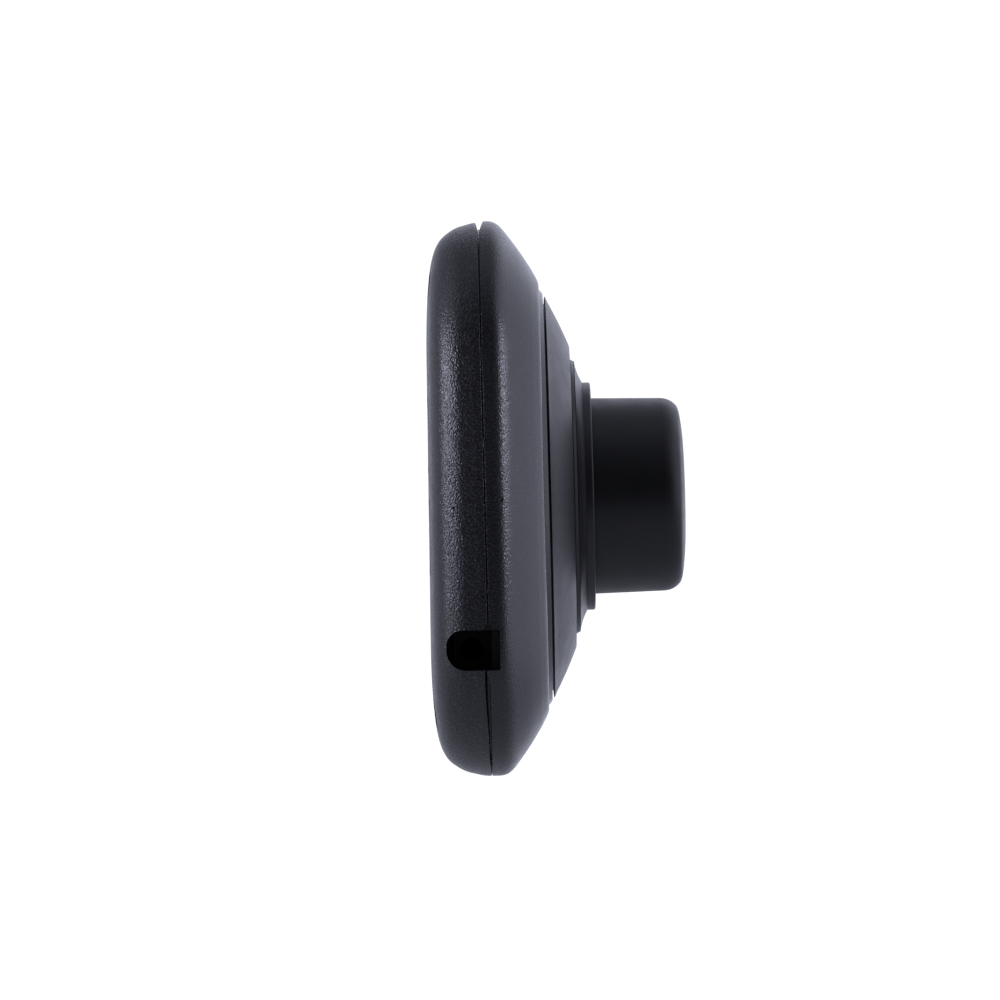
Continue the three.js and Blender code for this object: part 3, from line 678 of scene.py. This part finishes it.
# ---- rear cover ------------------------------------------------------------------------
rear = loft("rear_cover", REAR_SECTION, REAR_LEAN, seam=rear_edge)
cut(rear, loft("cavity", [(WALL, -0.5), (WALL, 1.3), (2.1, 2.5), (3.2, 3.5), (4.6, 4.0)]))
cut(rear, loft("rebate", [(LIP_IN - 0.1, -0.5), (LIP_IN - 0.1, LIP_H + 0.12)]))
fuse(rear, *[tube("post", [(2.6, 1.12), (2.6, 4.5)], "y", x, z, 32) for x, z in SCREWS])
cut(rear, plate("view", VIEW_W / 2, VIEW_H / 2, 1.2, [(0, 3), (0, 5)], n=6),
    *[plate("key_hole", KEY_W / 2 + 0.18, KEY_H / 2 + 0.18, 2.68, [(0.0, -3), (0, -0.22), (-0.2, 0.02), (-0.2, 1)], x, z, 12, face=rear_skin) for _, x, z in KEYS],
    *[tube("well", [(1.75, 2.6), (1.75, rear_face(z) - 0.2), (1.98, rear_face(z) + 0.03), (1.98, 8)], "y", x, z, 36) for x, z in SCREWS],
    tube("led_hole", [(0.95, 3), (0.95, 5.9), (1.2, 6.15), (1.2, 8)], "y", -KEY_X, 15, 28),
    tube("reset_hole", [(0.85, -31), (0.85, -30), (0.6, -29.7), (0.6, -27)], "z", 10, 1.7, 24),
    av_slot(), usb_slot(), pocket_cut(), card_cut())
cut(rear, plate("win0", WINDOW_W / 2 + 0.15, WINDOW_H / 2 + 0.15, 2.15, [(0, WINDOW_Y0 - 0.05), (0, 5.3)], n=10))
cut(rear, plate("win1", WINDOW_W / 2 + 0.15, WINDOW_H / 2 + 0.15, 2.15, [(0, -1.0), (0, -0.30), (-0.34, 0.03), (-0.34, 2.0)], n=10, face=lambda x, z: rear_face(z)))
cut(rear, seam_notch(), card_finger(), tube("pit", [(0.24, -46), (0.20, -43.15), (0.10, -42.80)], "x", 3.40, -0.9, 14), *[tube("bore", [(1.0, 0), (1.0, 4)], "y", x, z, 20) for x, z in SCREWS])
finish_piece(rear, MAT["rear"], "camera", ["rear_shell"])

# ---- stepped surround and barrel -----------------------------------------------------------
cone = [(17.0 + 5.55 * i / 10, -9.8 + 0.395 * (5.55 * i / 10) + 0.0135 * (5.55 * i / 10) ** 2) for i in range(1, 10)]
bezel = lathe("bezel_cone", fillet([(12.2, -6.9), (12.2, -7.9), (15.75, -7.9), (15.75, -9.8, 0.14), (16.98, -9.8, 0.24), *cone, (22.78, -7.17, 0.09),
                                   (22.3, -7.11), (21.8, -7.11), (21.8, -6.97), (20.2, -6.97), (20.2, -4.7), (18.9, -4.7), (18.9, -6.9)]))
finish_piece(bezel, MAT["bezel"], "camera", ["front_bezel"])

cove = spline([(15.3, -10.3), (14.6, -10.44), (14.0, -10.62), (13.5, -10.82), (13.1, -11.02)], 3)
collar = lathe("collar_ring", fillet([(11.3, -9.2), (11.3, -12.05, 0.12), (12.83, -12.05, 0.22), (12.83, -11.16), *reversed(cove), (15.26, -10.24, 0.12), (15.5, -9.86, 0.05),
                                      (15.2, -9.7), (15.2, -7.95), (13.6, -7.95), (13.6, -9.2)]))
finish_piece(collar, MAT["collar"], "camera", ["lens_collar"])

nose = spline([(5.42, -22.35), (6.6, -22.3), (7.7, -22.2), (8.7, -22.07), (9.4, -21.94), (9.93, -21.74), (10.32, -21.38), (10.6, -20.96), (10.78, -20.5), (10.87, -20.0)], 4)
barrel = lathe("barrel", fillet([(5.15, -21.9), (5.15, -22.26, 0.05), *nose, (10.95, -16.5), (11.02, -13.0), (11.1, -9.1), (13.4, -9.1), (13.4, -7.95), (9.5, -7.95), (9.5, -21.0),
                                 (9.1, -21.4), (6.6, -21.4), (6.6, -21.9)]), 192)
finish_piece(barrel, MAT["barrel"], "camera", ["lens_barrel"])

steps = []
r0, y0 = 5.05, -21.86
for i in range(5):
    steps += [(r0, y0), (r0 - 0.05, y0 + 0.19)]
    r0, y0 = r0 - 0.155, y0 + 0.21
baffle = lathe("baffle", [*steps, (4.28, -20.78), (4.6, -20.3), (6.5, -20.1), (6.5, -21.86)], 120)
finish_piece(baffle, MAT["baffle"], "camera", ["lens_baffle"])

R1 = 13.1
dome = [(5.72 * i / 18, -20.54 + R1 - math.sqrt(R1 * R1 - (5.72 * i / 18) ** 2)) for i in range(19)]
back = [(5.15 * i / 14, -18.12 - 0.83 * (i / 14) ** 2) for i in range(14, -1, -1)]
lens = lathe("front_glass", dome + back, 96)
finish_piece(lens, MAT["lens"], "camera", ["front_lens_element"], angle=50)

# ---- screen window -----------------------------------------------------------------------------
window = plate("window", WINDOW_W / 2 - 0.02, WINDOW_H / 2 - 0.02, 2, [(0.0, WINDOW_Y0), (0, WINDOW_Y1 - 0.18), (0.05, WINDOW_Y1 - 0.06), (0.16, WINDOW_Y1 - 0.005), (0.3, WINDOW_Y1)], n=12)
finish_piece(window, MAT["window"], "camera", ["screen_window"])

# ---- keys ------------------------------------------------------------------------------------------


def ring_shape(name, r_out, r_in, a0, a1, seg=28):
    pts = [(r_out * math.cos(math.radians(a0 + (a1 - a0) * i / seg)), r_out * math.sin(math.radians(a0 + (a1 - a0) * i / seg))) for i in range(seg + 1)]
    pts += [(r_in * math.cos(math.radians(a1 + (a0 - a1) * i / seg)), r_in * math.sin(math.radians(a1 + (a0 - a1) * i / seg))) for i in range(seg + 1)]
    return pts


def icon(name, shapes, x, z, face_y, body):
    """Flat printed mark 0.02 mm thick on the key's face; shapes are outlines in (right, up) as seen from behind."""
    objs = []
    for pts in shapes:
        objs.append(prism(name, [[(x - u, face_y(x - u, z + v) + h, z + v) for u, v in pts] for h in (-0.03, 0.012)]))
    o = join(objs)
    o.name = name
    return finish_piece(o, MAT["ink"], body, [])


def bar(u0, v0, u1, v1):
    return [(u0, v0), (u1, v0), (u1, v1), (u0, v1)]


MARKS = {
    "menu_key": [bar(-0.9, 0.45, 0.9, 0.7), bar(-0.9, -0.12, 0.9, 0.12), bar(-0.9, -0.7, 0.9, -0.45)],
    "select_key": [ring_shape("a", 0.85, 0.6, 0, 359.9)],
    "mode_key": [[(-0.55, 0.8), (-0.55, -0.8), (0.85, 0.0)]],
    "power_key": [ring_shape("a", 0.9, 0.65, -235, 55), bar(-0.13, 0.15, 0.13, 1.0)],
    "lock_key": [bar(-0.75, -0.8, 0.75, 0.15), ring_shape("a", 0.55, 0.33, 0, 180, 14)],
}
for name, x, z in KEYS:
    top = lambda xx, zz: rear_skin(xx, zz) - 0.05
    cap = plate(name + "_cap", KEY_W / 2, KEY_H / 2, 2.5, [(0, -2.4), (0, -0.30), (0.05, -0.13), (0.17, -0.035), (0.34, 0.0), (1.2, 0.0), (2.2, 0.0)], x, z, 12, face=top)
    flange = plate(name + "_flange", KEY_W / 2 + 0.6, KEY_H / 2 + 0.5, 0.6, [(0, 3.3), (0, 3.62)], x, z, 4)
    stem = tube(name + "_stem", [(1.15, 2.1), (1.2, 2.2), (1.2, 3.5)], "y", x, z, 24)
    fuse(cap, flange)
    fuse(cap, stem)
    finish_piece(cap, MAT["key"], name, [name])
    icon(name + "_mark", MARKS[name], x, z, top, name)

# ---- status light pipe, flush with the skin and slightly domed ------------------------------------------
pipe_lo, pipe_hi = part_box("status_light_pipe")
pb = pipe_lo.y * 1000 + OY
ps = rear_skin(-KEY_X, 15)
pipe = tube("light_pipe", [(0.85, pb), (0.85, ps - 0.12), (0.80, ps - 0.06), (0.66, ps - 0.02), (0.42, ps), (0.2, ps + 0.005)], "y", -KEY_X, 15, 36)
finish_piece(pipe, MAT["pipe"], "camera", ["status_light_pipe"])

# ---- CAD nodes that are shown as they are, with their materials --------------------------------------
NODE_MATS = {
    "bracket_rail": "rail", "lens_tube": "anodised", "middle_lens_element": "inner_lens", "rear_lens_element": "inner_lens", "lens_lock_ring": "anodised",
    "lens_holder": "inner", "infrared_filter": "filter", "image_sensor": "ceramic", "sensor_board": "board", "board_connector": "cream",
    "holder_screw_1": "nickel", "holder_screw_2": "nickel", "main_board": "board", "processor_chip": "chip", "memory_chip": "chip", "power_inductor": "ferrite",
    "av_jack": "socket", "usb_socket": "nickel", "card_socket": "nickel", "memory_card": "card", "battery_cell": "foil", "battery_tape": "tape",
    "speaker": "can", "microphone": "black_steel", "screen_gasket": "gasket", "screen_panel": "panel", "screen_backlight": "tray", "screen_ribbon": "film",
    "ribbon_connector": "cream", "status_light": "led", "reset_switch": "nickel", "reset_plunger": "plunger",
}
for k, _, _ in KEYS:
    NODE_MATS[k.replace("_key", "_switch")] = "nickel"
    NODE_MATS[k.replace("_key", "_switch_plunger")] = "plunger"
for i in range(1, 5):
    NODE_MATS["case_screw_%d" % i] = "black_steel"
SOFT_EDGES = {"bracket_rail": 0.12, "memory_card": 0.08, "usb_socket": 0.05, "av_jack": 0.08, "case_screw_1": 0.06, "case_screw_2": 0.06, "case_screw_3": 0.06,
              "case_screw_4": 0.06, "battery_cell": 0.4, "card_socket": 0.05, "lens_holder": 0.1}
for node, key in NODE_MATS.items():
    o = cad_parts[node]
    if not o.data.materials:
        o.data.materials.append(MAT[key])
    for slot in o.material_slots:
        slot.link = "OBJECT"
        slot.material = MAT[key]
    if node in SOFT_EDGES:
        w = o.modifiers.new("weld", "WELD")
        w.merge_threshold = 1e-6
        b = o.modifiers.new("edge", "BEVEL")
        b.width, b.segments, b.limit_method, b.angle_limit = SOFT_EDGES[node] / 1000, 2, "ANGLE", math.radians(40)
        b.use_clamp_overlap = True

# ---- floor, light ------------------------------------------------------------------------------------------
floor = bpy.data.meshes.new("floor")
zf = cad_lo.z - 0.018
floor.from_pydata([(-6, -6, zf), (6, -6, zf), (6, 6, zf), (-6, 6, zf)], [], [(0, 1, 2, 3)])
floor = bpy.data.objects.new("floor", floor)
bpy.context.scene.collection.objects.link(floor)
fm = bpy.data.materials.new("pale_floor")
fm.use_nodes = True
fb = fm.node_tree.nodes["Principled BSDF"]
fb.inputs["Base Color"].default_value = (0.82, 0.82, 0.83, 1)
fb.inputs["Roughness"].default_value = 0.9
fb.inputs["Specular IOR Level"].default_value = 0.0
fb.inputs["Emission Color"].default_value = (1, 0.99, 0.94, 1)
fb.inputs["Emission Strength"].default_value = 0.74
floor.data.materials.append(fm)
floor.visible_glossy = floor.visible_diffuse = False
floor.visible_transmission = False



def spot(name, at, target, reach, radius, power):
    """Soft pool of light, about reach mm across its bright part at the target."""
    d = bpy.data.lights.new(name, "SPOT")
    d.energy, d.color, d.shadow_soft_size = power, (0.90, 0.93, 1.14), radius
    d.spot_size, d.spot_blend = 2 * math.atan(reach / (row(*at) - row(*target)).length / 1000), 1.0
    o = bpy.data.objects.new(name, d)
    bpy.context.scene.collection.objects.link(o)
    o.location = row(*at)
    o.rotation_euler = (row(*target) - row(*at)).to_track_quat("-Z", "Y").to_euler()
    o.visible_camera = False
    return o


spot("right_spot", (-54, -102, 17), (-43, -2, 12), 30, 0.012, 0.085)
spot("left_spot", (-60, 101, 17), (-43, 3, 12), 31, 0.022, 0.165)

world = bpy.data.worlds.new("studio")
bpy.context.scene.world = world
world.use_nodes = True
wt = world.node_tree
wt.nodes.clear()


def wmath(op, a, b=None, clamp=False):
    n = wt.nodes.new("ShaderNodeMath")
    n.operation, n.use_clamp = op, clamp
    for i, x in enumerate((a, b)):
        if x is None:
            continue
        if isinstance(x, (int, float)):
            n.inputs[i].default_value = x
        else:
            wt.links.new(x, n.inputs[i])
    return n.outputs[0]


def wstep(x, lo, hi, a=0.0, b=1.0):
    n = wt.nodes.new("ShaderNodeMapRange")
    n.interpolation_type = "SMOOTHSTEP"
    for k, v in zip(("From Min", "From Max", "To Min", "To Max"), (lo, hi, a, b)):
        n.inputs[k].default_value = v
    wt.links.new(x, n.inputs["Value"])
    return n.outputs["Result"]


# A light tent: white walls at the sides and behind, dimmer ceiling and table, dark opening on the -X side.
tc = wt.nodes.new("ShaderNodeTexCoord")
sx = wt.nodes.new("ShaderNodeSeparateXYZ")
wt.links.new(tc.outputs["Generated"], sx.inputs[0])
dx, dy, dz = sx.outputs
walls = wt.nodes.new("ShaderNodeValToRGB")
stops = [(-1.0, 0.06), (-0.9, 0.08), (-0.8, 0.11), (-0.6, 0.26), (-0.3, 0.90), (-0.1, 1.18), (0.4, 0.90), (1.0, 1.1)]
while len(walls.color_ramp.elements) < len(stops):
    walls.color_ramp.elements.new(0.5)
for e, (p, v) in zip(walls.color_ramp.elements, stops):
    e.position, e.color = (p + 1) / 2, (v / 2, v / 2, v / 2, 1)
wt.links.new(wmath("ADD", wmath("MULTIPLY", dx, 0.5), 0.5), walls.inputs[0])
around = wmath("MULTIPLY", walls.outputs[0], 2.0)
left = wstep(dy, -0.25, 0.45, 1.0, 0.78)
left = wmath("SUBTRACT", left, wmath("MULTIPLY", wmath("MULTIPLY", wstep(dy, -0.10, 0.35), wstep(dx, 0.05, 0.75)), 0.45))
ceiling = wstep(dz, 0.50, 0.97, 1.0, 0.38)
above = wmath("MULTIPLY", wmath("MULTIPLY", around, left), ceiling)
table = wstep(dz, -0.45, -0.04)
light = wmath("ADD", wmath("MULTIPLY", above, table), wmath("MULTIPLY", wmath("SUBTRACT", 1.0, table), 0.42))
bg = wt.nodes.new("ShaderNodeBackground")
bg.inputs["Color"].default_value = (0.90, 0.93, 1.14, 1)
wt.links.new(light, bg.inputs["Strength"])
white = wt.nodes.new("ShaderNodeBackground")
white.inputs["Color"].default_value = (1, 1, 1, 1)
white.inputs["Strength"].default_value = 1.05
lp = wt.nodes.new("ShaderNodeLightPath")
mixw = wt.nodes.new("ShaderNodeMixShader")
wt.links.new(lp.outputs["Is Camera Ray"], mixw.inputs[0])
wt.links.new(bg.outputs[0], mixw.inputs[1])
wt.links.new(white.outputs[0], mixw.inputs[2])
wo = wt.nodes.new("ShaderNodeOutputWorld")
wt.links.new(mixw.outputs[0], wo.inputs["Surface"])

bpy.context.scene.view_settings.view_transform = "Standard"
bpy.context.scene.view_settings.look = "None"

bpy.context.view_layer.update()
